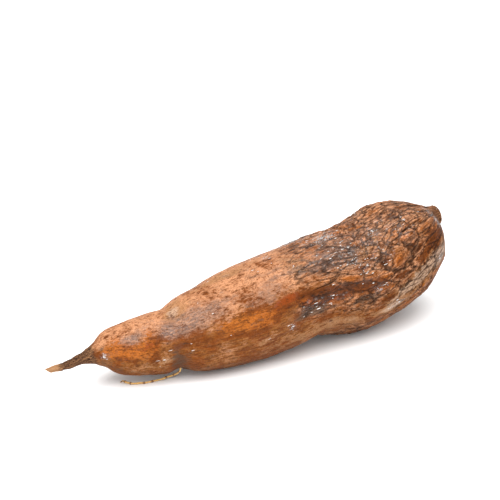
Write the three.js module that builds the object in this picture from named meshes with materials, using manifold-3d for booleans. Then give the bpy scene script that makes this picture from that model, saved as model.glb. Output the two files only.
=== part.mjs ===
// A whole cassava root lying on its side, grown as one piece: a thin tail with a cut tip, three soft
// swellings with shallow waists between them, a domed stem end with a short cut stub, and one hair-fine
// rootlet that leaves the first waist and lies on the surface.
// Millimetres. +X runs from the tail to the stem end, +Z is up, and z = 0 is the surface that it lies on.
import * as THREE from "three";
import { mergeVertices } from "three/addons/utils/BufferGeometryUtils.js";
import Module from "manifold-3d";

const LENGTH = 312; // what the percentages below are parts of
const RINGS = 76; // cross-sections along the root
const SIDES = 40; // sides of each cross-section
const REST_DEPTH = 0.7; // how far the underside is pressed flat where it touches the surface

// The root's form, in percent of LENGTH: how far along it the section is, how far its middle lies aside of
// the straight line and up from the surface, and the section's half width and half height.
const SECTIONS = [
  { along: 0.0, aside: 5.9, up: 6.2, halfWidth: 0.55, halfHeight: 0.55 }, // the tail's cut tip
  { along: 2.1, aside: 5.8, up: 6.35, halfWidth: 0.7, halfHeight: 0.7 },
  { along: 4.6, aside: 5.4, up: 6.6, halfWidth: 0.9, halfHeight: 0.9 },
  { along: 7.5, aside: 5.1, up: 7.3, halfWidth: 1.15, halfHeight: 1.15 },
  { along: 9.9, aside: 4.8, up: 7.7, halfWidth: 1.9, halfHeight: 1.9 }, // where the tail meets the body
  { along: 11.4, aside: 4.6, up: 7.85, halfWidth: 2.8, halfHeight: 2.8 },
  { along: 13.9, aside: 4.3, up: 8.0, halfWidth: 4.4, halfHeight: 4.4 },
  { along: 18.1, aside: 3.5, up: 7.8, halfWidth: 5.7, halfHeight: 5.75 },
  { along: 23.2, aside: 2.4, up: 7.9, halfWidth: 6.7, halfHeight: 6.75 }, // the first swelling
  { along: 27.0, aside: 1.3, up: 8.2, halfWidth: 7.2, halfHeight: 7.0 }, // the first waist
  { along: 32.2, aside: 0.5, up: 9.0, halfWidth: 8.6, halfHeight: 8.6 },
  { along: 39.2, aside: 0.0, up: 9.8, halfWidth: 9.9, halfHeight: 9.9 },
  { along: 45.6, aside: 0.0, up: 10.5, halfWidth: 10.6, halfHeight: 10.6 }, // the second swelling
  { along: 52.6, aside: 0.0, up: 11.4, halfWidth: 10.9, halfHeight: 10.7 },
  { along: 59.0, aside: 0.0, up: 12.3, halfWidth: 11.0, halfHeight: 10.7 }, // the second waist
  { along: 65.4, aside: 0.2, up: 12.3, halfWidth: 11.6, halfHeight: 11.5 },
  { along: 71.8, aside: 0.5, up: 12.0, halfWidth: 12.1, halfHeight: 12.1 }, // the third swelling
  { along: 77.6, aside: 0.8, up: 12.9, halfWidth: 12.2, halfHeight: 12.2 },
  { along: 82.7, aside: 1.1, up: 14.4, halfWidth: 12.0, halfHeight: 12.3 },
  { along: 87.5, aside: 1.4, up: 16.3, halfWidth: 11.4, halfHeight: 11.9 },
  { along: 91.7, aside: 1.6, up: 18.3, halfWidth: 10.1, halfHeight: 9.9 },
  { along: 94.6, aside: 1.8, up: 19.8, halfWidth: 7.7, halfHeight: 7.3 }, // the dome of the stem end
  { along: 96.5, aside: 1.9, up: 20.8, halfWidth: 5.0, halfHeight: 4.7 },
  { along: 97.4, aside: 1.9, up: 21.2, halfWidth: 3.1, halfHeight: 3.0 }, // the stub's foot
  { along: 98.2, aside: 1.9, up: 21.4, halfWidth: 2.5, halfHeight: 2.5 },
  { along: 99.0, aside: 1.9, up: 21.5, halfWidth: 2.35, halfHeight: 2.4 }, // the stub's cut face
];

// Round dents in the side, in the same percent: where the middle is along the root, its angle round the
// section from the far side over the top, how deep it is, and how far it reaches along and round.
const DENTS = [
  { along: 27.3, angle: 245, depth: 0.9, reach: 1.5, spread: 55 }, // the crease that the rootlet leaves
  { along: 59.2, angle: 262, depth: 0.4, reach: 2.6, spread: 40 }, // under the second waist
];

// The rootlet's middle line in millimetres from the tail's tip, from inside the crease to its free end.
const ROOTLET_RADIUS = 0.75;
const ROOTLET_STEPS = 22;
const ROOTLET_SIDES = 8;
const ROOTLET_PATH = [
  [85.3, -5.0, 14.0],
  [85.3, -6.2, 7.5],
  [83.9, -4.9, 4.4],
  [81.8, -2.9, 2.6],
  [78.0, -1.6, 1.7],
  [72.4, -1.1, 1.1],
  [66.1, -0.2, 0.9],
  [59.9, 1.4, 0.9],
  [54.7, 3.8, 0.9],
  [52.2, 7.2, 0.9],
  [51.0, 10.8, 0.9],
  [48.2, 9.6, 0.9],
];

const SKIN = new THREE.MeshStandardMaterial({ color: 0x9c5f36, roughness: 0.55, metalness: 0.0 });

const wasm = await Module();
wasm.setup();

function mm(percent) {
  return (percent * LENGTH) / 100;
}

// A closed geometry as a solid for joining and cutting.
function solidOf(geometry) {
  const bare = geometry.index ? geometry.toNonIndexed() : geometry.clone();
  bare.deleteAttribute("normal");
  bare.deleteAttribute("uv");
  const merged = mergeVertices(bare, 1e-4);
  return new wasm.Manifold(
    new wasm.Mesh({
      numProp: 3,
      vertProperties: merged.attributes.position.array,
      triVerts: new Uint32Array(merged.index.array),
    }),
  );
}

function geometryOf(solid) {
  const mesh = solid.getMesh();
  const geometry = new THREE.BufferGeometry();
  geometry.setAttribute("position", new THREE.BufferAttribute(new Float32Array(mesh.vertProperties), 3));
  geometry.setIndex(new THREE.BufferAttribute(new Uint32Array(mesh.triVerts), 1));
  geometry.computeVertexNormals();
  return geometry;
}

// The middle line and the half sizes are two smooth curves through the same sections.
const middleLine = new THREE.CatmullRomCurve3(
  SECTIONS.map((s) => new THREE.Vector3(mm(s.along), mm(s.aside), mm(s.up))),
  false,
  "catmullrom",
  0.5,
);
const halfSizes = new THREE.CatmullRomCurve3(
  SECTIONS.map((s) => new THREE.Vector3(mm(s.halfWidth), mm(s.halfHeight), 0)),
  false,
  "catmullrom",
  0.5,
);

// How far the dents draw in the side at a place along the root and an angle round it.
function dentDepth(along, angle) {
  let depth = 0;
  for (const dent of DENTS) {
    const turned = THREE.MathUtils.euclideanModulo(angle - dent.angle + 180, 360) - 180;
    const alongShare = (along - dent.along) / dent.reach;
    const roundShare = turned / dent.spread;
    depth += mm(dent.depth) * Math.exp(-alongShare * alongShare - roundShare * roundShare);
  }
  return depth;
}

// The points of one cross-section, square to the middle line.
function sectionPoints(share) {
  const middle = middleLine.getPoint(share);
  const forward = middleLine.getTangent(share);
  const aside = new THREE.Vector3(0, 0, 1).cross(forward).normalize();
  const upward = forward.clone().cross(aside);
  const half = halfSizes.getPoint(share);
  const points = [];
  for (let i = 0; i < SIDES; i++) {
    const angle = (i * 360) / SIDES;
    const turn = THREE.MathUtils.degToRad(angle);
    const dent = dentDepth((100 * middle.x) / LENGTH, angle);
    points.push(
      middle
        .clone()
        .addScaledVector(aside, Math.cos(turn) * (half.x - dent))
        .addScaledVector(upward, Math.sin(turn) * (half.y - dent)),
    );
  }
  return points;
}

// The body as rings of points joined by bands, with a fan over the cut face at each end.
function bodyGeometry() {
  const positions = [];
  const faces = [];
  for (let ring = 0; ring < RINGS; ring++) {
    for (const point of sectionPoints(ring / (RINGS - 1))) {
      positions.push(point.x, point.y, point.z);
    }
  }
  for (let ring = 0; ring < RINGS - 1; ring++) {
    for (let i = 0; i < SIDES; i++) {
      const next = (i + 1) % SIDES;
      const here = ring * SIDES;
      const there = here + SIDES;
      faces.push(here + i, here + next, there + next);
      faces.push(here + i, there + next, there + i);
    }
  }
  const tipMiddle = positions.length / 3;
  positions.push(...middleLine.getPoint(0).toArray());
  const stubMiddle = tipMiddle + 1;
  positions.push(...middleLine.getPoint(1).toArray());
  const lastRing = (RINGS - 1) * SIDES;
  for (let i = 0; i < SIDES; i++) {
    const next = (i + 1) % SIDES;
    faces.push(tipMiddle, next, i);
    faces.push(stubMiddle, lastRing + i, lastRing + next);
  }
  const geometry = new THREE.BufferGeometry();
  geometry.setAttribute("position", new THREE.Float32BufferAttribute(positions, 3));
  geometry.setIndex(faces);
  return geometry;
}

// The rootlet as a thin closed tube.
function rootletGeometry() {
  const section = new THREE.Shape();
  section.absarc(0, 0, ROOTLET_RADIUS, 0, 2 * Math.PI);
  const path = new THREE.CatmullRomCurve3(ROOTLET_PATH.map((p) => new THREE.Vector3(...p)));
  return new THREE.ExtrudeGeometry(section, {
    steps: ROOTLET_STEPS,
    curveSegments: ROOTLET_SIDES,
    extrudePath: path,
    bevelEnabled: false,
  });
}

// What lies under the surface that the root is pressed on.
function groundGeometry() {
  const size = 2 * LENGTH;
  return new THREE.BoxGeometry(size, size, size).translate(LENGTH / 2, 0, -size / 2);
}

const pressed = solidOf(bodyGeometry().translate(0, 0, -REST_DEPTH)).subtract(solidOf(groundGeometry()));
const whole = pressed.add(solidOf(rootletGeometry()));
const geometry = geometryOf(whole);

// The origin is on the surface, under the middle of the root's box.
geometry.computeBoundingBox();
const middle = geometry.boundingBox.getCenter(new THREE.Vector3());
geometry.translate(-middle.x, -middle.y, -geometry.boundingBox.min.z);

const root = new THREE.Mesh(geometry, SKIN);
root.name = "cassava_root";

const group = new THREE.Group();
group.add(root);

export default group;
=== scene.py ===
import math
import random

import bmesh
import bpy
import numpy as np
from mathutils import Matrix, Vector, noise


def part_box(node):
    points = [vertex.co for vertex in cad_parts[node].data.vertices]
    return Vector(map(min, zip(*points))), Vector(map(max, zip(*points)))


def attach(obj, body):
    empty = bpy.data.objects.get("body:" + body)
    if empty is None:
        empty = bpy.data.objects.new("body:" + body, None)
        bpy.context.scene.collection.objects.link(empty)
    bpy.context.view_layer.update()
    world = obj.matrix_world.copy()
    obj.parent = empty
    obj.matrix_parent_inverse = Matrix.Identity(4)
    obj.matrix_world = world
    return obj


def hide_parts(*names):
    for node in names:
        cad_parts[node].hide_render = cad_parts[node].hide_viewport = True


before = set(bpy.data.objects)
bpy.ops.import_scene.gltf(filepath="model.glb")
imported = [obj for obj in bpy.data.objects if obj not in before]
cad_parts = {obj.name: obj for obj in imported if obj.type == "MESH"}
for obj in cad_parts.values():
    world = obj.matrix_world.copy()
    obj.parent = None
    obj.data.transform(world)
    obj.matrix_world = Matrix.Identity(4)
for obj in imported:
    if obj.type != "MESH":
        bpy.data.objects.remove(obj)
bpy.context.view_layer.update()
rootLow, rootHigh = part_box("cassava_root")

# A whole cassava root lying on its side. Its shape is worked out in millimetres on a grid that runs
# along the root in percent and round it in degrees: 0 is the far side, 90 the top, 180 the near side
# and 270 the underside. The grid is then fitted to the box of the CAD part.

rootForm = {
    "length": 312.0,  # mm, what the percentages are parts of
    "restDepth": 0.7,  # mm pressed flat where it touches the surface
    "sides": 240,
    "tipRings": 3,  # rings over the tail's cut tip
    "bodyRings": 399,
    "stubRings": 8,  # rings over the stub's cut face
    # percent: along, aside, up, half width, half height
    "sections": [
        (0.0, 5.9, 6.2, 0.55, 0.55),  # the tail's cut tip
        (2.1, 5.8, 6.35, 0.7, 0.7),
        (4.6, 5.4, 6.6, 0.9, 0.9),
        (7.5, 5.1, 7.3, 1.15, 1.15),
        (9.9, 4.8, 7.7, 1.9, 1.9),  # where the tail meets the body
        (11.4, 4.6, 7.85, 2.8, 2.8),
        (13.9, 4.3, 8.0, 4.4, 4.4),
        (18.1, 3.5, 7.8, 5.7, 5.75),
        (23.2, 2.4, 7.9, 6.7, 6.75),  # the first swelling
        (27.0, 1.3, 8.2, 7.2, 7.0),  # the first waist
        (32.2, 0.5, 9.0, 8.6, 8.6),
        (39.2, 0.0, 9.8, 9.9, 9.9),
        (45.6, 0.0, 10.5, 10.6, 10.6),  # the second swelling
        (52.6, 0.0, 11.4, 10.9, 10.7),
        (59.0, 0.0, 12.3, 11.0, 10.7),  # the second waist
        (65.4, 0.2, 12.3, 11.6, 11.5),
        (71.8, 0.5, 12.0, 12.1, 12.1),  # the third swelling
        (77.6, 0.8, 12.9, 12.2, 12.2),
        (82.7, 1.1, 14.4, 12.0, 12.3),
        (87.5, 1.4, 16.3, 11.4, 11.9),
        (91.7, 1.6, 18.3, 10.1, 9.9),
        (94.6, 1.8, 19.8, 7.7, 7.3),  # the dome of the stem end
        (96.5, 1.9, 20.8, 5.0, 4.7),
        (97.4, 1.9, 21.2, 3.1, 3.0),  # the stub's foot
        (98.2, 1.9, 21.4, 2.5, 2.5),
        (99.0, 1.9, 21.5, 2.35, 2.4),  # the stub's cut face
    ],
}

# Relief of the bark, all heights in mm.
barkRelief = {
    "lumpHeight": 0.9,
    "lumpSize": 24.0,
    "wrinkleHeight": 0.34,
    "wrinkleSize": (1.7, 8.0),  # round the root, along it
    "plateSize": (5.2, 34.0),
    "plateHeight": 0.7,
    "crackDepth": 0.8,
    "fissureSize": (4.0, 50.0),
    "fissureDepth": 0.75,
    "tailKnobs": 0.55,
    "rippleHeight": 0.28,
    "singleRise": 0.55,  # single plates, and the groove round them
    "grooveDepth": 0.9,
    "grooveWidth": 0.16,
    "stubFibre": 0.55,
}

# Soft round areas: along, angle, reach along, reach round, amount.
dents = [
    (27.3, 245, 1.5, 55, 2.8),  # the crease that the rootlet leaves
    (27.0, 185, 1.3, 35, 0.8),
    (59.2, 262, 2.6, 40, 1.2),
    (53.6, 180, 1.6, 14, 2.0),  # folds of the second waist
    (56.0, 155, 3.4, 8, 3.0),
    (62.5, 161, 4.5, 6, 1.8),
    (50.6, 152, 2.2, 12, -1.5),  # the swollen lip before them
    (66.5, 164, 5.0, 6, 1.0),
    (89.5, 158, 3.0, 12, 0.8),
    (80.5, 150, 4.5, 11, -0.9),  # smooth blister
    (85.8, 138, 2.4, 9, -0.6),
    (30.0, 20, 3.0, 30, 0.9),
    (61.0, 330, 3.5, 30, 1.2),
    (47.0, 315, 5.0, 18, -0.8),
    (78.0, 20, 5.0, 20, -0.8),
]

# Single plates with a groove round them: along, angle, reach along, reach round.
singlePlates = [
    (85.7, 140, 2.7, 10),
    (80.3, 151, 4.2, 12),
    (74.6, 133, 2.4, 9),
    (89.6, 122, 2.2, 10),
    (76.6, 78, 3.6, 10),
    (70.5, 103, 2.2, 8),
    (82.0, 20, 3.4, 12),
    (68.0, 320, 3.4, 12),
]

# Lips of lifted bark: the edge's path as along and angle, its height, how far behind it the height dies
# away, and how ragged the edge is. The raised side is the side of larger angles.
lips = [
    {"path": [(72, 192), (75, 187), (80, 180), (84.3, 174), (88, 170), (92, 170), (95, 176)],
     "height": 1.3, "fall": 14.0, "ragged": 6.0, "dry": 1.15},
    {"path": [(50, 163), (53, 163), (57, 164), (62, 168), (67, 171), (72, 173)],
     "height": 1.6, "fall": 7.0, "ragged": 3.0, "dry": 0.2},
    {"path": [(62, 126), (66, 128), (70, 121), (75, 124), (79, 118)],
     "height": 0.7, "fall": 6.0, "ragged": 6.0, "dry": 0.5},
    {"path": [(44, 300), (50, 296), (58, 303), (66, 299), (74, 305), (80, 300)],
     "height": 0.8, "fall": 9.0, "ragged": 6.0, "dry": 0.7},
    {"path": [(63, 30), (70, 36), (78, 30), (86, 38), (92, 34)],
     "height": 0.8, "fall": 10.0, "ragged": 6.0, "dry": 0.7},
    {"path": [(30, 345), (36, 350), (43, 344), (50, 350)],
     "height": 0.5, "fall": 7.0, "ragged": 4.0, "dry": 0.4},
]


# Where the bark is scalier or smoother than the swelling it is on.
scalySpots = [
    (17, 110, 8, 60, 0.05),
    (53, 128, 4, 14, 0.16),
    (54.5, 173, 4.0, 13, 0.5),
    (80, 108, 10, 30, 0.15),
    (68, 165, 6, 8, -0.25),  # smooth furrow
    (80.5, 150, 4.5, 12, -0.5),  # smooth blister
    (62, 205, 8, 15, -0.25),
    (68, 178, 6, 8, 0.25),
    (74, 200, 6, 12, -0.3),
    (84, 195, 7, 18, 0.25),
    (45, 320, 8, 30, 0.5),
    (70, 300, 12, 40, 0.3),
    (25, 330, 5, 40, 0.4),
]

# Where each tint of the bark lies: along, angle, reach along, reach round, amount.
colourSpots = {
    "film": [  # violet grey film on the upper side, partly a painted sheen where the overhead light reflects
        (17.2, 139, 2.2, 14, 1.1), (25.6, 136, 2.6, 18, 1.1), (21.5, 116, 4.0, 14, 0.4),
        (30.5, 136, 3.6, 20, 0.85), (36.0, 128, 5.0, 20, 0.6), 
        (46.0, 136, 4.0, 17, 0.55), (50.0, 122, 4.5, 22, 0.45), (59.0, 131, 3.6, 14, 0.7),
        (62.0, 122, 3.4, 14, 0.8), (66.8, 124, 3.4, 15, 0.85), (62.0, 100, 3.5, 12, 0.6),
        (72.0, 100, 5.0, 12, 0.45), (90.5, 102, 4.0, 18, 0.55), (80.0, 104, 4.0, 12, 0.4),
        (20.0, 60, 4.0, 22, 0.6), (34.0, 45, 6.0, 22, 0.6), (48.0, 60, 6.0, 26, 0.6),
        (62.0, 55, 6.0, 20, 0.8), (78.0, 50, 6.0, 22, 0.6), (40.0, 10, 6.0, 22, 0.5),
        (69.0, 5, 6.0, 22, 0.7), (88.0, 10, 4.0, 22, 0.6), (55.0, 340, 5.0, 20, 0.5),
    ],
    "dark": [  # dark brown areas; in the crease, the folds and furrow of the second waist and round the stem end they are painted shade in the hollows
        (26.6, 205, 1.5, 30, 0.7), (31.5, 166, 6.0, 9, 0.42), (26.8, 168, 2.4, 9, 0.3),
        (56.5, 156, 3.6, 5, 0.9), (52.8, 174, 2.4, 6, 0.6), (62.0, 163, 4.8, 5.5, 1.1),
        (69.0, 164, 5.0, 6.5, 1.1),
        (91.5, 160, 3.2, 22, 0.7), (88.0, 166, 3.4, 7, 0.3), (74.8, 187, 3.0, 3, 0.7),
        (13.0, 106, 0.5, 6, 0.8), (73.0, 170, 8.0, 9, 0.3), (58.0, 166, 5.0, 10, 0.3),
        (49.0, 160, 3.0, 8, 0.45), (95.5, 150, 1.5, 60, 0.4),
        (28.0, 20, 2.5, 40, 0.6), (60.0, 345, 4.0, 22, 0.7), (86.0, 345, 5.0, 30, 0.6),
        (73.0, 33, 4.0, 8, 0.7), (47.0, 310, 5.0, 14, 0.6), (35.0, 300, 6.0, 20, 0.4),
    ],
    "grey": [  # grey areas: painted shade in the crease of the first waist, grey scaly cracks in the folds of the second waist, grey patches elsewhere
        (26.5, 190, 1.5, 26, 0.7), (53.2, 178, 2.8, 7, 1.1), (57.0, 176, 2.8, 6, 1.1),
        (70.0, 178, 4.5, 5, 0.8), (66.0, 182, 3.0, 5, 0.6), (27.3, 240, 2.0, 40, 0.9),
        (34.0, 195, 5.0, 12, 0.35), (14.5, 215, 3.0, 26, 0.5), (11.5, 180, 1.4, 90, 0.5),
        (30.0, 5, 3.0, 30, 0.6), (58.0, 320, 4.0, 20, 0.7), (75.0, 320, 6.0, 16, 0.6),
    ],
    "red": [  # red brown stains
        (51.2, 151, 3.2, 6, 0.8), (55.0, 162, 2.4, 4, 0.7), (57.5, 170, 3.4, 3.5, 0.7),
        (63.0, 170, 3.4, 3.5, 0.6),
        (48.0, 156, 3.0, 9, 0.4), (44.0, 340, 3.0, 12, 0.7), (66.0, 20, 3.0, 10, 0.7),
        (20.0, 158, 4.0, 10, 0.45),
    ],
    "glow": [  # clear orange skin with little scurf on it
        (12.8, 158, 2.2, 24, 0.9), (19.5, 148, 7.0, 34, 0.45), (17.5, 165, 3.6, 18, 0.8),
        (14.6, 124, 1.8, 16, 0.7),
        # the spot at 28.4 along and 101 degrees round is a painted highlight on the top rim
        (28.4, 101, 1.8, 16, 1.0), (31.0, 112, 1.6, 9, 0.6), (21.5, 128, 1.6, 14, 0.5),
        (37.9, 158, 5.0, 16, 0.8), (44.5, 162, 5.0, 12, 0.6), (80.5, 150, 4.0, 11, 0.7),
        (85.8, 139, 2.4, 9, 1.2), (60.5, 161, 5.0, 6, 1.1),
        (68.5, 163, 5.0, 7, 1.1), (54.0, 160, 3.0, 8, 0.7), (52.0, 98, 5.0, 9, 0.5),
        (74.6, 133, 2.0, 8, 0.8), (89.6, 122, 1.8, 8, 0.7), (70.5, 103, 1.8, 7, 0.8),
        (64.5, 170, 3.4, 4, 0.6), (74.0, 158, 4.0, 8, 0.5),
        (77.0, 74, 5.0, 9, 0.8), (72.5, 118, 2.6, 9, 0.7), (56.0, 88, 5.0, 9, 0.5),
        (30.0, 60, 4.0, 24, 0.6), (42.0, 30, 6.0, 20, 0.7), (56.0, 10, 5.0, 18, 0.7),
        (76.0, 355, 6.0, 18, 0.8), (22.0, 350, 5.0, 28, 0.7), (36.0, 330, 4.0, 20, 0.6),
    ],
    "pale": [  # tan, dry and worn areas
        # the spot at 28.2 along and 101 degrees round is a painted highlight on the top rim
        (24.4, 190, 2.4, 9, 0.9), (28.2, 101, 2.6, 18, 1.3), (20.0, 205, 5.0, 14, 0.4),
        (42.0, 84, 9.0, 12, 0.85),
        (55.5, 110, 2.6, 14, 0.6), (71.0, 122, 9.0, 15, 0.42), (84.0, 112, 6.0, 16, 0.35),
        (56.2, 126, 1.6, 8, 0.6), (44.0, 192, 4.0, 6, 0.6),
        (59.0, 205, 7.0, 10, 0.7), (67.0, 202, 6.0, 8, 0.6), (80.0, 188, 5.0, 8, 0.6),
        (86.5, 184, 5.0, 8, 1.1), (91.5, 188, 3.0, 14, 0.9), (75.8, 200, 3.2, 4.5, 1.5),
        (81.5, 184, 4.0, 6, 0.9),
        (48.0, 210, 8.0, 14, 0.4), (92.0, 98, 3.0, 14, 0.4), (35.0, 20, 5.0, 12, 0.5),
        (82.0, 30, 7.0, 9, 0.7), (55.0, 300, 8.0, 12, 0.6), (68.0, 342, 5.0, 8, 0.5),
    ],
    "wax": [  # where white wax has gathered, its white partly a painted glint
        (11.7, 172, 0.8, 16, 1.1), (15.8, 178, 1.6, 7, 0.2), (27.0, 168, 1.6, 8, 0.35),
        (51.9, 86, 1.4, 6, 0.8),
        (46.1, 93, 1.6, 6, 0.6), (50.0, 185, 1.0, 6, 1.0), (65.5, 92, 4.0, 10, 0.9),
        (66.5, 138, 3.4, 8, 0.55), (67.0, 119, 3.0, 9, 0.6), (76.5, 199, 3.0, 3.5, 0.9),
        (70.0, 150, 5.0, 12, 0.4), (58.0, 112, 7.0, 20, 0.4), (74.0, 128, 8.0, 26, 0.3),
        (86.0, 120, 5.0, 20, 0.3),
        (56.0, 172, 5.0, 10, 0.5),
        (72.8, 172, 2.4, 5, 0.8), (96.0, 150, 1.4, 40, 0.7), (91.0, 190, 2.0, 16, 0.6),
        (78.5, 112, 4.0, 20, 0.4), (62.0, 168, 3.0, 8, 0.4), (60.0, 60, 6.0, 30, 0.5),
        (80.0, 20, 6.0, 30, 0.5), (35.0, 40, 6.0, 30, 0.35), (70.0, 330, 7.0, 25, 0.4),
        (24.5, 188, 2.0, 6, 0.6), (44.0, 190, 3.0, 5, 0.4),
    ],
}


def fitCurve(points, share):
    # a smooth curve through the points, at a share between 0 and 1
    last = len(points) - 1
    place = np.clip(np.asarray(share, float), 0.0, 1.0) * last
    start = np.minimum(place.astype(int), last - 1)
    u = (place - start)[..., None]
    padded = np.vstack([2 * points[0] - points[1], points, 2 * points[-1] - points[-2]])
    before, here, there, after = (padded[start + k] for k in range(4))
    leave = (there - before) * 0.5
    arrive = (after - here) * 0.5
    cubic = 2 * here - 2 * there + leave + arrive
    square = -3 * here + 3 * there - 2 * leave - arrive
    return ((cubic * u + square) * u + leave) * u + here


def smoothStep(value, low, high):
    t = np.clip((value - low) / (high - low), 0.0, 1.0)
    return t * t * (3 - 2 * t)


def turnedBy(angle, middle):
    # the angle from the middle, between -180 and 180 degrees
    return (angle - middle + 180.0) % 360.0 - 180.0


def spots(along, angle, places):
    # the sum of soft round areas
    total = np.zeros_like(along)
    for spotAlong, spotAngle, reach, spread, amount in places:
        far = ((along - spotAlong) / reach) ** 2 + (turnedBy(angle, spotAngle) / spread) ** 2
        total += amount * np.exp(-far)
    return total


def fractalNoise(points, size, shift=0.0, octaves=3):
    # noise at each point, with a size in mm as one number or as (round, along)
    across, lengthwise = size if isinstance(size, tuple) else (size, size)
    scaled = points / np.array([across, across, lengthwise]) + shift
    return np.array([noise.fractal(Vector(p), 1.0, 2.0, octaves) for p in scaled])


def plateCells(points, size, shift):
    # how deep inside its plate each point is, and a number for each plate between 0 and 1
    scaled = points / np.array([size[0], size[0], size[1]]) + shift
    inside = np.empty(len(points))
    number = np.empty(len(points))
    for i, p in enumerate(scaled):
        distances, middles = noise.voronoi(Vector(p))
        inside[i] = distances[1] - distances[0]
        number[i] = noise.cell(middles[0] * 9.7)
    return inside, number


def rootLines():
    # the middle line and the sections at each ring, with rings at even steps along the root
    table = np.array(rootForm["sections"]) * rootForm["length"] / 100
    fine = np.linspace(0, 1, 4001)
    line = fitCurve(table[:, :3], fine)
    run = np.concatenate([[0.0], np.cumsum(np.linalg.norm(np.diff(line, axis=0), axis=1))])
    share = np.interp(np.linspace(0, run[-1], rootForm["bodyRings"]), run, fine)
    middle = fitCurve(table[:, :3], share)
    step = 1e-4
    forward = fitCurve(table[:, :3], share + step) - fitCurve(table[:, :3], share - step)
    forward /= np.linalg.norm(forward, axis=1)[:, None]
    aside = np.cross(np.array([0.0, 0.0, 1.0]), forward)
    aside /= np.linalg.norm(aside, axis=1)[:, None]
    upward = np.cross(forward, aside)
    half = fitCurve(table[:, 3:], share)
    run = np.interp(share, fine, run)
    return middle, forward, aside, upward, half, run


def growRoot():
    sides = rootForm["sides"]
    tip, stub, bodyRings = (rootForm[key] for key in ("tipRings", "stubRings", "bodyRings"))
    segments = tip + bodyRings + stub
    bm = bmesh.new()
    bmesh.ops.create_uvsphere(bm, u_segments=sides, v_segments=segments, radius=1.0)
    ball = np.array([v.co for v in bm.verts])
    level = np.rint(np.arccos(np.clip(-ball[:, 2], -1, 1)) / math.pi * segments).astype(int)
    angle = np.degrees(np.arctan2(ball[:, 1], ball[:, 0])) % 360

    # the first and last levels cover the cut faces, and the rest are the rings of the body
    ring = np.clip(level - tip, 0, bodyRings - 1)
    cover = np.ones(len(ball))
    onTip = level < tip
    onStub = level > segments - stub
    cover[onTip] = level[onTip] / tip
    cover[onStub] = (segments - level[onStub]) / stub

    middle, forward, aside, upward, half, run = rootLines()
    along = 100 * middle[ring, 0] / rootForm["length"]
    turn = np.radians(angle)
    round2 = np.stack([np.cos(turn), np.sin(turn)], axis=1)
    thick = half[ring].mean(axis=1)
    gauge = np.interp(along, [0, 9, 14, 24, 34, 46, 100], [5, 7, 14, 21, 27, 31, 31])
    grain = np.column_stack([gauge[:, None] * round2 * cover[:, None], run[ring]])

    body = smoothStep(along, 9.5, 14.0) * (1 - smoothStep(along, 96.5, 98.0))
    tail = 1 - smoothStep(along, 8.5, 12.5)
    stubShare = smoothStep(along, 96.0, 98.0)

    # where the bark is scaly, and where it is smooth
    scaly = smoothStep(along, 45, 71) * (0.55 + 0.45 * np.cos(np.radians(turnedBy(angle, 105))) ** 2)
    scaly += spots(along, angle, scalySpots)
    scaly = np.clip(scaly, 0.04, 1.0) * body

    lump = fractalNoise(grain, barkRelief["lumpSize"], 3.1, 2)
    ripple = fractalNoise(grain, (7.0, 16.0), 7.7, 2)
    wrinkle = fractalNoise(grain, barkRelief["wrinkleSize"], 11.3, 3)
    warp = np.column_stack([
        fractalNoise(grain, (5.0, 9.0), 21.0, 2),
        fractalNoise(grain, (5.0, 9.0), 35.0, 2),
        fractalNoise(grain, (5.0, 9.0), 49.0, 2),
    ])
    warped = grain + warp * np.array([1.6, 1.6, 7.0])
    inside, plateTone = plateCells(warped, barkRelief["plateSize"], 5.0)
    crack = (1 - smoothStep(inside, 0.01, 0.13)) * smoothStep(scaly + 0.35 * ripple, 0.25, 0.6)
    long = np.abs(fractalNoise(warped, barkRelief["fissureSize"], 61.0, 2))
    fissure = (1 - smoothStep(long, 0.0, 0.085)) * smoothStep(scaly + 0.5 * lump, 0.2, 0.7)

    height = body * (barkRelief["lumpHeight"] * lump + barkRelief["rippleHeight"] * ripple)
    height += (body + 0.5 * tail) * barkRelief["wrinkleHeight"] * wrinkle * (0.55 + 0.75 * scaly)
    height += scaly * barkRelief["plateHeight"] * (plateTone - 0.5) * smoothStep(inside, 0.0, 0.25)
    height -= barkRelief["crackDepth"] * crack + barkRelief["fissureDepth"] * fissure
    height -= spots(along, angle, dents)

    ragged = fractalNoise(grain, (6.0, 5.0), 71.0, 3)
    edge = np.zeros(len(ball))
    dry = np.zeros(len(ball))
    for lip in lips:
        path = np.array(lip["path"], float)
        behind = turnedBy(angle, np.interp(along, path[:, 0], path[:, 1]) + lip["ragged"] * ragged)
        behind = np.radians(behind) * thick
        reach = smoothStep(along, path[0, 0], path[0, 0] + 3)
        reach *= 1 - smoothStep(along, path[-1, 0] - 3, path[-1, 0])
        rise = smoothStep(behind, -0.4, 0.7) * np.exp(-np.clip(behind, 0, None) / lip["fall"])
        height += lip["height"] * reach * rise
        edge += reach * np.exp(-((behind + 0.5) / 0.9) ** 2)
        dry += lip["dry"] * reach * smoothStep(behind, 0.2, 1.2) * np.exp(-np.clip(behind, 0, None) / 9.0)

    for plateAlong, plateAngle, reach, spread in singlePlates:
        far = np.hypot((along - plateAlong) / reach, turnedBy(angle, plateAngle) / spread) + 0.35 * ragged
        groove = np.exp(-((far - 1.0) / barkRelief["grooveWidth"]) ** 2)
        inPlate = 1 - smoothStep(far, 0.75, 1.0)
        crack *= 1 - 0.8 * inPlate
        fissure *= 1 - 0.8 * inPlate
        height += barkRelief["singleRise"] * inPlate - barkRelief["grooveDepth"] * groove
        edge += 1.1 * groove

    # knobs on the tail and a ragged, fibrous stub
    knob = fractalNoise(grain, (2.4, 3.4), 83.0, 2)
    height += tail * barkRelief["tailKnobs"] * knob * (1 - smoothStep(-along, -2.4, -0.6))
    fibre = fractalNoise(grain, (1.6, 9.0), 97.0, 2)
    height += stubShare * (barkRelief["stubFibre"] * fibre + 0.35 * lump) * np.where(cover < 1, 0.0, 1.0)

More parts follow.
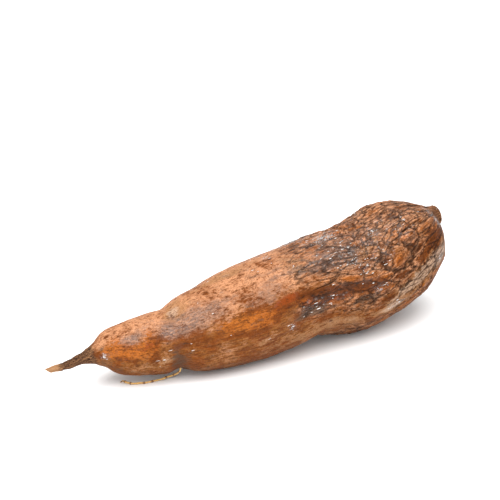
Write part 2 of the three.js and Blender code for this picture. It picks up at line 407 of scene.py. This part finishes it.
    radius = half[ring] * cover[:, None] + height[:, None] * smoothStep(cover, 0.6, 1.0)[:, None]
    place = middle[ring] + aside[ring] * (radius[:, 0] * round2[:, 0])[:, None]
    place += upward[ring] * (radius[:, 1] * round2[:, 1])[:, None]
    # the tail's tip is cut at a slant, and the stub's face is torn
    slant = tail * (1 - smoothStep(along, 0.0, 3.2))
    place[:, 0] += slant * 1.9 * (0.55 - round2[:, 1] * cover)
    torn = fractalNoise(grain, (2.2, 60.0), 5.5, 2)
    place += forward[ring] * (stubShare * (cover < 1) * (0.7 * torn - 0.7 * (1 - cover)))[:, None]
    place[:, 2] = np.maximum(place[:, 2] - rootForm["restDepth"], 0.0)

    # the grid's box is laid over the CAD part's box
    plain = np.concatenate([middle + aside * half[:, :1] * s for s in (-1, 1)])
    plain = np.concatenate([plain, middle + upward * half[:, 1:] * 1, middle - upward * half[:, 1:]])
    span = plain.max(axis=0) - plain.min(axis=0)
    unit = (rootHigh.x - rootLow.x) / span[0]
    centre = (plain.max(axis=0) + plain.min(axis=0)) / 2
    boxCentre = (rootLow + rootHigh) / 2
    shift = np.array([boxCentre.x - centre[0] * unit, boxCentre.y - centre[1] * unit, rootLow.z])
    for vertex, spot in zip(bm.verts, place * unit + shift):
        vertex.co = spot

    bmesh.ops.recalc_face_normals(bm, faces=bm.faces)
    for face in bm.faces:
        face.smooth = True
    mesh = bpy.data.meshes.new("root_body")
    bm.to_mesh(mesh)
    bm.free()
    mesh.set_sharp_from_angle(angle=math.radians(62))

    seen = {
        "scaly": scaly,
        "crack": np.clip(crack + 0.9 * fissure + 0.9 * edge, 0, 1),
        "plate": plateTone,
        "tail": tail,
        "stub": stubShare,
        "cut": np.where(cover < 0.95, 1.0, 0.0),
        "under": smoothStep(-np.sin(turn), -0.1, 0.85),
        "upper": smoothStep(np.sin(turn), 0.15, 0.95),
        "along": along,
    }
    for name, places in colourSpots.items():
        seen[name] = spots(along, angle, places)
    seen["pale"] += dry
    storeOn(mesh, seen, grain)
    body = bpy.data.objects.new("root_body", mesh)
    bpy.context.collection.objects.link(body)
    return body, unit, shift


def storeOn(mesh, values, grain):
    for name, value in values.items():
        layer = mesh.attributes.new(name, "FLOAT", "POINT")
        layer.data.foreach_set("value", np.ascontiguousarray(value, dtype=np.float32))
    layer = mesh.attributes.new("grain", "FLOAT_VECTOR", "POINT")
    layer.data.foreach_set("vector", np.ascontiguousarray(grain, dtype=np.float32).ravel())


class Signal:
    # one socket of a shader, so that masks and colours can be written as sums
    def __init__(self, maker, socket):
        self.maker = maker
        self.socket = socket

    def isWide(self):
        return self.socket.type in ("VECTOR", "RGBA")

    def sum(self, operation, left, right):
        wide = any(isinstance(s, Signal) and s.isWide() for s in (left, right))
        if not wide:
            return self.maker.add("ShaderNodeMath", {"operation": operation}, {0: left, 1: right})
        sides = [s if isinstance(s, Signal) else asTriple(s) for s in (left, right)]
        return self.maker.add("ShaderNodeVectorMath", {"operation": operation}, dict(enumerate(sides)))

    def __add__(self, other):
        return self.sum("ADD", self, other)

    def __radd__(self, other):
        return self.sum("ADD", other, self)

    def __sub__(self, other):
        return self.sum("SUBTRACT", self, other)

    def __rsub__(self, other):
        return self.sum("SUBTRACT", other, self)

    def __mul__(self, other):
        return self.sum("MULTIPLY", self, other)

    def __rmul__(self, other):
        return self.sum("MULTIPLY", other, self)


def asTriple(value):
    return tuple(value) if isinstance(value, (tuple, list)) else (value, value, value)


class Finish:
    # a material and the one method that adds its nodes
    def __init__(self, name):
        self.material = bpy.data.materials.new(name)
        self.material.use_nodes = True
        self.tree = self.material.node_tree
        self.tree.nodes.clear()

    def add(self, nodeType, settings=None, inputs=None, output=0):
        node = self.tree.nodes.new(nodeType)
        for key, value in (settings or {}).items():
            if key == "stops":
                self.setStops(node.color_ramp, value)
            else:
                setattr(node, key, value)
        for key, value in (inputs or {}).items():
            if isinstance(value, Signal):
                self.tree.links.new(value.socket, node.inputs[key])
            else:
                node.inputs[key].default_value = value
        return Signal(self, node.outputs[output]) if node.outputs else node

    def setStops(self, ramp, stops):
        while len(ramp.elements) < len(stops):
            ramp.elements.new(1.0)
        for element, (place, colour) in zip(ramp.elements, stops):
            element.position = place
            element.color = (*colour, 1.0)

    def worn(self, name):
        # a value stored on the piece
        return self.add("ShaderNodeAttribute", {"attribute_name": name}, output="Fac")

    def grain(self, stretch):
        along = self.add("ShaderNodeAttribute", {"attribute_name": "grain"}, output="Vector")
        return along * stretch

    def speckle(self, place, scale, detail=3.0, rough=0.55, shift=0.0):
        noiseInputs = {"Vector": place + shift, "Scale": scale, "Detail": detail, "Roughness": rough}
        return self.add("ShaderNodeTexNoise", {}, noiseInputs, output=0)

    def cells(self, place, scale, feature="DISTANCE_TO_EDGE", output="Distance"):
        return self.add("ShaderNodeTexVoronoi", {"feature": feature}, {"Vector": place, "Scale": scale},
                        output=output)

    def swirl(self, place, scale, amount):
        # the place pushed about by noise
        push = self.add("ShaderNodeTexNoise", {}, {"Vector": place, "Scale": scale, "Detail": 2.0}, output=1)
        return place + (push - 0.5) * amount

    def ease(self, value, low, high, least=0.0, most=1.0):
        settings = {"interpolation_type": "SMOOTHSTEP", "clamp": True}
        return self.add("ShaderNodeMapRange", settings, {0: value, 1: low, 2: high, 3: least, 4: most})

    def blend(self, share, first, second):
        settings = {"data_type": "RGBA", "clamp_factor": True}
        sides = [s if isinstance(s, Signal) else (*s, 1.0) for s in (first, second)]
        return self.add("ShaderNodeMix", settings, {0: share, 6: sides[0], 7: sides[1]}, output=2)


barkColours = {
    "orange": (0.225, 0.056, 0.0070),
    "glow": (0.460, 0.128, 0.0160),
    "ochre": (0.250, 0.088, 0.0190),
    "burnt": (0.125, 0.029, 0.0035),
    "brown": (0.075, 0.022, 0.0050),
    "deep": (0.024, 0.009, 0.0040),
    "violet": (0.140, 0.085, 0.0660),
    "pink": (0.620, 0.290, 0.1480),
    "tan": (0.370, 0.180, 0.0780),
    "dustAndShade": (0.085, 0.055, 0.0360),
    "scraped": (0.520, 0.345, 0.2350),
    "red": (0.230, 0.042, 0.0050),
    "wax": (0.780, 0.750, 0.7400),
    "tailBark": (0.150, 0.072, 0.0380),
    "wood": (0.430, 0.240, 0.1250),
}


def barkFinish():
    paint = Finish("cassava bark")
    tone = barkColours
    even = paint.grain((1.0, 1.0, 1.0))
    fibrous = paint.grain((1.0, 1.0, 0.40))
    streaky = paint.grain((1.0, 1.0, 0.10))
    cloud = paint.speckle(even, 0.055, 3.0, 0.55)
    blot = paint.speckle(fibrous, 0.22, 4.0, 0.65, 13.0)
    scurf = paint.speckle(fibrous, 0.75, 5.0, 0.75, 31.0)
    fibre = paint.speckle(streaky, 0.80, 4.0, 0.65, 57.0)
    fine = paint.speckle(even, 1.05, 4.0, 0.75, 71.0)
    grit = paint.speckle(paint.grain((1.0, 1.0, 0.50)), 0.52, 4.0, 0.75, 91.0)

    scaly, crack, plate = (paint.worn(n) for n in ("scaly", "crack", "plate"))
    film, dark, grey, red = (paint.worn(n) for n in ("film", "dark", "grey", "red"))
    glow, pale, wax, under = (paint.worn(n) for n in ("glow", "pale", "wax", "under"))
    tail, stub, cut, along = (paint.worn(n) for n in ("tail", "stub", "cut", "along"))
    upper = paint.worn("upper")
    broken = (blot - 0.5) * 2.2 + (scurf - 0.5) * 1.8

    # small plates of bark with cracks between them, drawn out along the root
    flakes = paint.swirl(paint.grain((1.0, 1.0, 0.24)), 0.16, 5.0)
    flakeEdge = paint.cells(flakes, 0.19)
    flakeTone = paint.cells(flakes, 0.19, "F1", "Color")
    chips = paint.swirl(paint.grain((1.0, 1.0, 0.24)), 0.30, 2.4)
    chipEdge = paint.cells(chips, 0.50)
    flaky = paint.ease(scaly + broken * 0.35, 0.18, 0.60)
    chippy = paint.ease(scaly + broken * 0.8 + 0.25, 0.35, 0.95)
    flakeLine = flaky * paint.ease(flakeEdge + (fine - 0.5) * 0.12, 0.08, 0.01)
    chipLine = chippy * paint.ease(chipEdge + (fine - 0.5) * 0.20, 0.10, 0.01)
    # painted highlight along the rims of the plates
    flakeRimHighlight = flaky * paint.ease(flakeEdge, 0.28, 0.12)

    # skin between ochre and orange, in clouds and fibres
    base = paint.blend(paint.ease(cloud + 0.7 * (blot - 0.5), 0.42, 0.60), tone["orange"], tone["ochre"])
    base = paint.blend(paint.ease(blot + 0.5 * (cloud - 0.5), 0.50, 0.40) * 0.6, base, tone["burnt"])
    base = paint.blend(paint.ease(glow + broken, 0.3, 0.9) * 0.8, base, tone["glow"])
    base = paint.blend(paint.ease(fibre, 0.48, 0.60) * 0.6, base, tone["brown"])
    # plates differ in tone, and their rims carry a painted highlight
    base = paint.blend(flaky * paint.ease(flakeTone, 0.35, 0.60) * 0.7, base, tone["glow"])
    base = paint.blend(flaky * paint.ease(flakeTone, 0.42, 0.22) * 0.6, base, tone["burnt"])
    base = paint.blend(scaly * paint.ease(plate, 0.35, 0.1) * 0.25, base, tone["brown"])
    base = paint.blend(flakeRimHighlight * paint.ease(scurf, 0.40, 0.54) * 0.75, base, tone["pink"])
    # painted sheen: the upper side is made lighter and pinker where the overhead light reflects, broken up
    # by scurf
    patchy = (cloud - 0.5) * 3.0 + (blot - 0.5) * 1.6 + (scurf - 0.5) * 2.6
    topSheen = paint.ease(upper + patchy - 0.6 * glow - 0.42 * scaly, 0.15, 1.05)
    base = paint.blend(topSheen * 0.92, base, tone["pink"])
    flecks = paint.ease(fine + (scurf - 0.5) * 0.6, 0.50, 0.60)
    base = paint.blend(flecks * (0.15 + 0.4 * topSheen - 0.2 * glow), base, tone["tan"])
    base = paint.blend(
        paint.ease(grit, 0.50, 0.42) * (0.15 + 0.3 * topSheen - 0.1 * flaky), base, tone["orange"]
    )
    base = paint.blend(paint.ease(grit, 0.44, 0.36) * (0.5 - 0.2 * flaky), base, tone["brown"])
    base = paint.blend(paint.ease(grit, 0.52, 0.62) * (0.1 + 0.6 * topSheen - 0.2 * glow), base, tone["pink"])
    # pale patches, film that is partly a painted sheen, stains, and dark and grey areas that are partly
    # painted shade, all with broken edges; painted shade on the underside
    base = paint.blend(paint.ease(pale + broken, 0.25, 0.8) * 0.8, base, tone["tan"])
    base = paint.blend(paint.ease(pale + broken * 0.7, 0.8, 1.4) * 0.75, base, tone["scraped"])
    # painted shade: the underside darkened towards grey
    base = paint.blend(paint.ease(under + broken * 0.6, 0.5, 1.2) * 0.22, base, tone["dustAndShade"])
    base = paint.blend(paint.ease(red + broken * 0.8, 0.25, 0.7) * 0.9, base, tone["red"])
    # violet grey film, partly a painted sheen where the overhead light reflects
    filmAndSheenShare = paint.ease(film + broken, 0.24, 0.9) * paint.ease(grit, 0.42, 0.54, 0.55, 1.0)
    base = paint.blend(filmAndSheenShare * 0.85, base, tone["violet"])
    base = paint.blend(filmAndSheenShare * paint.ease(scurf, 0.50, 0.60) * 0.5, base, tone["pink"])
    # dark areas: in the crease, the folds, the furrow and round the stem end this is painted shade
    base = paint.blend(paint.ease(dark + broken * 0.8, 0.25, 0.7) * 0.9, base, tone["burnt"])
    base = paint.blend(paint.ease(dark + broken * 1.6, 0.95, 1.4) * 0.6, base, tone["deep"])
    # grey: painted shade in the crease, grey cracks and patches elsewhere
    base = paint.blend(paint.ease(grey + broken, 0.35, 0.9) * 0.7, base, tone["dustAndShade"])
    # cracks, pits and flecks
    base = paint.blend(chipLine * 0.42, base, tone["brown"])
    base = paint.blend(flakeLine * paint.ease(grit, 0.38, 0.56, 0.9, 0.45), base, tone["deep"])
    base = paint.blend(paint.ease(crack + (fine - 0.5), 0.42, 0.9) * 0.68, base, tone["deep"])
    base = paint.blend(paint.ease(scurf + 0.4 * (fine - 0.5), 0.46, 0.36) * 0.62, base, tone["brown"])
    base = paint.blend(paint.ease(fine, 0.46, 0.36) * 0.62, base, tone["brown"])
    # white wax, partly painted glints
    waxAndGlintShare = paint.ease(wax * 0.5 + (fine - 0.5) * 1.8 + (scurf - 0.5) * 1.4, 0.50, 0.62)
    base = paint.blend(waxAndGlintShare * 0.85, base, tone["wax"])
    # tail, bare wood at its tip, and the cut faces
    tailTone = paint.blend(paint.ease(fine, 0.42, 0.58), tone["tailBark"], tone["deep"])
    tailTone = paint.blend(paint.ease(scurf, 0.5, 0.6) * 0.6, tailTone, tone["tan"])
    base = paint.blend(paint.ease(tail + (blot - 0.5) * 0.9, 0.35, 0.75), base, tailTone)
    bare = paint.ease(along + (fine - 0.5) * 5.0, 3.4, 2.2)
    base = paint.blend(bare, base, paint.blend(paint.ease(fibre, 0.4, 0.6), tone["wood"], tone["tan"]))
    stubTone = paint.blend(paint.ease(fibre, 0.4, 0.6), tone["tailBark"], tone["brown"])
    stubTone = paint.blend(paint.ease(grit, 0.50, 0.62) * 0.8, stubTone, tone["pink"])
    stubTone = paint.blend(paint.ease(scurf, 0.46, 0.36) * 0.7, stubTone, tone["deep"])
    base = paint.blend(paint.ease(stub + (scurf - 0.5), 0.4, 0.8) * 0.85, base, stubTone)
    torn = paint.blend(paint.ease(scurf, 0.44, 0.60), tone["deep"], tone["tailBark"])
    base = paint.blend(cut * paint.ease(along, 50.0, 51.0), base, torn)

    rough = 0.42 + 0.4 * (scurf - 0.4) + 0.15 * pale + 0.06 * scaly - 0.08 * glow - 0.08 * wax
    coat = paint.ease(fine + 0.14 * film + 0.35 * wax + 0.1 * glow + 0.08 * scaly, 0.52, 0.95, 0.0, 0.9)
    bumpHeight = 0.7 * scurf + 0.4 * fibre + 0.5 * fine + 0.3 * waxAndGlintShare - 0.8 * flakeLine - 0.35 * chipLine
    bumpHeight = bumpHeight + flaky * 0.35 * paint.ease(flakeEdge, 0.0, 0.35)
    bumpInputs = {"Strength": 1.0, "Distance": 0.0015, "Height": bumpHeight}
    bump = paint.add("ShaderNodeBump", {}, bumpInputs)
    shaderInputs = {
        "Base Color": base,
        "Roughness": rough,
        "Coat Weight": coat,
        "Coat Roughness": 0.2,
        "Normal": bump,
        "Specular IOR Level": 0.05,
    }
    shader = paint.add("ShaderNodeBsdfPrincipled", {}, shaderInputs)
    paint.add("ShaderNodeOutputMaterial", {}, {"Surface": shader})
    return paint.material


waxForm = {
    "count": 220,
    "length": (1.1, 4.0),  # mm
    "width": (0.3, 0.8),
    "height": 0.25,  # of the width
    "scatter": 0.006,  # how much falls outside the waxy areas
    "from": 12,  # percent along the root
    "to": 99,
    "lengthwise": (1, 0, 0.15),  # the way that the crumbs lie
    "lift": 0.05,
    "colours": ((0.62, 0.56, 0.50), (0.80, 0.78, 0.76)),
}


def scatterWax(body, unit):
    # small crumbs of white wax lying on the bark, long side along the root, their white partly a painted
    # glint
    mesh = body.data
    amount = np.empty(len(mesh.vertices), dtype=np.float32)
    mesh.attributes["wax"].data.foreach_get("value", amount)
    along = np.empty(len(mesh.vertices), dtype=np.float32)
    mesh.attributes["along"].data.foreach_get("value", along)
    inRange = (along > waxForm["from"]) & (along < waxForm["to"])
    weight = (np.clip(amount, 0, 1) ** 1.5 + waxForm["scatter"]) * inRange
    total = np.cumsum(weight)
    bm = bmesh.new()
    for _ in range(waxForm["count"]):
        vertex = mesh.vertices[int(np.searchsorted(total, random.random() * total[-1]))]
        long = random.uniform(*waxForm["length"]) * random.uniform(0.5, 1.0)
        wide = random.uniform(*waxForm["width"])
        up = vertex.normal
        way = Vector(waxForm["lengthwise"])
        lengthwise = (way - up * up.dot(way)).normalized()
        across = up.cross(lengthwise)
        made = bmesh.ops.create_icosphere(bm, subdivisions=1, radius=0.5)["verts"]
        for corner in made:
            x, y, z = corner.co * random.uniform(0.8, 1.15)
            flat = lengthwise * (x * long) + across * (y * wide) + up * (z * wide * waxForm["height"])
            corner.co = vertex.co + flat * unit + up * (waxForm["lift"] * unit)
            corner.co.z = max(corner.co.z, 0.0)
    for face in bm.faces:
        face.smooth = True
    crumbs = bpy.data.meshes.new("wax_and_glint_flecks")
    bm.to_mesh(crumbs)
    bm.free()
    piece = bpy.data.objects.new("wax_and_glint_flecks", crumbs)
    bpy.context.collection.objects.link(piece)
    return piece


def waxFinish():
    paint = Finish("white wax")
    place = paint.add("ShaderNodeTexCoord", {}, {}, output="Object")
    shade = paint.speckle(place, 900.0, 2.0, 0.5)
    base = paint.blend(paint.ease(shade, 0.4, 0.6), *waxForm["colours"])
    shaderInputs = {"Base Color": base, "Roughness": 0.35, "Coat Weight": 0.3, "Coat Roughness": 0.15}
    shader = paint.add("ShaderNodeBsdfPrincipled", {}, shaderInputs)
    paint.add("ShaderNodeOutputMaterial", {}, {"Surface": shader})
    return paint.material


rootletForm = {
    "radius": 0.75,  # mm
    "sides": 14,
    "rings": 110,
    "length": 62.0,
    "joints": (9, 17, 24, 33, 38, 47, 53, 60),  # mm from its root end
    "jointWidth": 0.9,
    "kink": 0.55,
    "straw": (0.72, 0.46, 0.16),
    "amber": (0.50, 0.24, 0.06),
    "jointBrown": (0.17, 0.06, 0.02),
    "path": [  # mm along, aside, up, from the tail's tip
        (85.3, -5.0, 14.0), (85.3, -6.2, 7.5), (83.9, -4.9, 4.4), (81.8, -2.9, 2.6),
        (78.0, -1.6, 1.7), (72.4, -1.1, 1.1), (66.1, -0.2, 0.9), (59.9, 1.4, 0.9),
        (54.7, 3.8, 0.9), (52.2, 7.2, 0.9), (51.0, 10.8, 0.9), (48.2, 9.6, 0.9),
    ],
}


def growRootlet(unit, shift):
    sides, rings = rootletForm["sides"], rootletForm["rings"]
    bm = bmesh.new()
    bmesh.ops.create_uvsphere(bm, u_segments=sides, v_segments=rings, radius=1.0)
    ball = np.array([v.co for v in bm.verts])
    share = np.arccos(np.clip(-ball[:, 2], -1, 1)) / math.pi
    angle = np.arctan2(ball[:, 1], ball[:, 0])
    path = np.array(rootletForm["path"])
    middle = fitCurve(path, share)
    forward = fitCurve(path, share + 1e-3) - fitCurve(path, share - 1e-3)
    forward /= np.linalg.norm(forward, axis=1)[:, None]
    aside = np.cross(np.array([0.0, 0.0, 1.0]), forward)
    aside /= np.linalg.norm(aside, axis=1)[:, None]
    upward = np.cross(forward, aside)
    run = share * rootletForm["length"]
    grain = np.column_stack([np.cos(angle), np.sin(angle), run])
    knot = np.zeros(len(ball))
    for spot in rootletForm["joints"]:
        knot = np.maximum(knot, np.exp(-((run - spot) / rootletForm["jointWidth"]) ** 2))
    thick = rootletForm["radius"] * (0.78 + 0.22 * fractalNoise(grain, 2.0, 3.0, 2) + 0.35 * knot)
    thick *= np.minimum(1.0, 7.0 * (1 - share)) ** 0.5 * np.where(np.abs(ball[:, 2]) > 0.99999, 0.0, 1.0)
    kink = np.column_stack([fractalNoise(grain, 7.0, s, 1) for s in (2.0, 5.0)]) * rootletForm["kink"]
    kink *= smoothStep(share, 0.1, 0.25)[:, None]
    place = middle + aside * (np.cos(angle) * thick + kink[:, 0])[:, None]
    place += upward * (np.sin(angle) * thick + 0.3 * np.abs(kink[:, 1]))[:, None]
    place[:, 2] = np.maximum(place[:, 2], 0.05)
    # the path starts where the part's own does, which isn't pressed down
    for vertex, spot in zip(bm.verts, place * unit + shift):
        vertex.co = spot
    bmesh.ops.recalc_face_normals(bm, faces=bm.faces)
    for face in bm.faces:
        face.smooth = True
    mesh = bpy.data.meshes.new("rootlet")
    bm.to_mesh(mesh)
    bm.free()
    storeOn(mesh, {"knot": knot}, grain)
    piece = bpy.data.objects.new("rootlet", mesh)
    bpy.context.collection.objects.link(piece)
    return piece


def rootletFinish():
    paint = Finish("rootlet skin")
    even = paint.grain((1.0, 1.0, 1.0))
    fine = paint.speckle(even, 1.4, 3.0, 0.6)
    base = paint.blend(paint.ease(fine, 0.4, 0.65), rootletForm["straw"], rootletForm["amber"])
    atJoint = paint.ease(paint.worn("knot") + (fine - 0.5) * 0.6, 0.35, 0.8)
    base = paint.blend(atJoint, base, rootletForm["jointBrown"])
    bump = paint.add("ShaderNodeBump", {}, {"Strength": 0.6, "Distance": 0.0003, "Height": fine})
    shaderInputs = {"Base Color": base, "Roughness": 0.55, "Normal": bump}
    shader = paint.add("ShaderNodeBsdfPrincipled", {}, shaderInputs)
    paint.add("ShaderNodeOutputMaterial", {}, {"Surface": shader})
    return paint.material


studio = {
    "floorTone": 0.93,
    "worldLight": 0.77,
    "overheadPower": 31.0,
    "overheadSize": 1.5,
    "overheadPlace": (-0.25, -0.30, 1.25),
    "fillPower": 7.0,
    "fillSize": 1.2,
    "fillPlace": (-0.8, -1.2, 0.8),
}

view = {
    "azimuth": -33.0,  # degrees to the right of straight ahead
    "elevation": 22.0,
    "distance": 1.0,
    "lens": 108.0,
    "aim": (-0.0108, -0.0024, 0.0773),  # metres from under the middle of the root
}


def softbox(name, place, size, power):
    light = bpy.data.lights.new(name, "AREA")
    light.size = size
    light.energy = power
    lamp = bpy.data.objects.new(name, light)
    lamp.location = place
    lamp.rotation_euler = (Vector((0, 0, 0.04)) - Vector(place)).to_track_quat("-Z", "Y").to_euler()
    bpy.context.collection.objects.link(lamp)


def buildStudio():
    bm = bmesh.new()
    bmesh.ops.create_grid(bm, x_segments=1, y_segments=1, size=6.0)
    mesh = bpy.data.meshes.new("floor")
    bm.to_mesh(mesh)
    bm.free()
    floor = bpy.data.objects.new("floor", mesh)
    bpy.context.collection.objects.link(floor)
    paint = Finish("white floor")
    tone = studio["floorTone"]
    shaderInputs = {"Base Color": (tone, tone, tone, 1.0), "Roughness": 0.9, "Specular IOR Level": 0.1}
    shader = paint.add("ShaderNodeBsdfPrincipled", {}, shaderInputs)
    paint.add("ShaderNodeOutputMaterial", {}, {"Surface": shader})
    mesh.materials.append(paint.material)

    world = bpy.data.worlds.new("studio")
    world.use_nodes = True
    world.node_tree.nodes["Background"].inputs["Color"].default_value = (1.0, 1.0, 1.0, 1.0)
    world.node_tree.nodes["Background"].inputs["Strength"].default_value = studio["worldLight"]
    bpy.context.scene.world = world
    softbox("overhead", studio["overheadPlace"], studio["overheadSize"], studio["overheadPower"])
    softbox("front fill", studio["fillPlace"], studio["fillSize"], studio["fillPower"])


def placeCamera():
    lens = bpy.data.cameras.new("camera")
    lens.lens = view["lens"]
    lens.sensor_width = 36.0
    lens.clip_end = 50.0
    camera = bpy.data.objects.new("camera", lens)
    middle = (rootLow + rootHigh) / 2
    aim = Vector((middle.x, middle.y, rootLow.z)) + Vector(view["aim"])
    turn, rise = math.radians(-view["azimuth"]), math.radians(view["elevation"])
    look = Vector((math.sin(turn) * math.cos(rise), math.cos(turn) * math.cos(rise), -math.sin(rise)))
    camera.location = aim - look * view["distance"]
    camera.rotation_euler = look.to_track_quat("-Z", "Y").to_euler()
    bpy.context.collection.objects.link(camera)
    bpy.context.scene.camera = camera


random.seed(7)
placeCamera()
buildStudio()
print("studio built")
body, unit, shift = growRoot()
body.data.materials.append(barkFinish())
print("root grown with", len(body.data.polygons), "faces")
rootlet = growRootlet(unit, shift)
rootlet.data.materials.append(rootletFinish())
print("rootlet grown")
wax = scatterWax(body, unit)
wax.data.materials.append(waxFinish())
print("wax scattered")

for piece in (body, rootlet, wax):
    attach(piece, "root")
    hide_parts("cassava_root")

bpy.context.scene.view_settings.view_transform = "Standard"
bpy.context.view_layer.update()
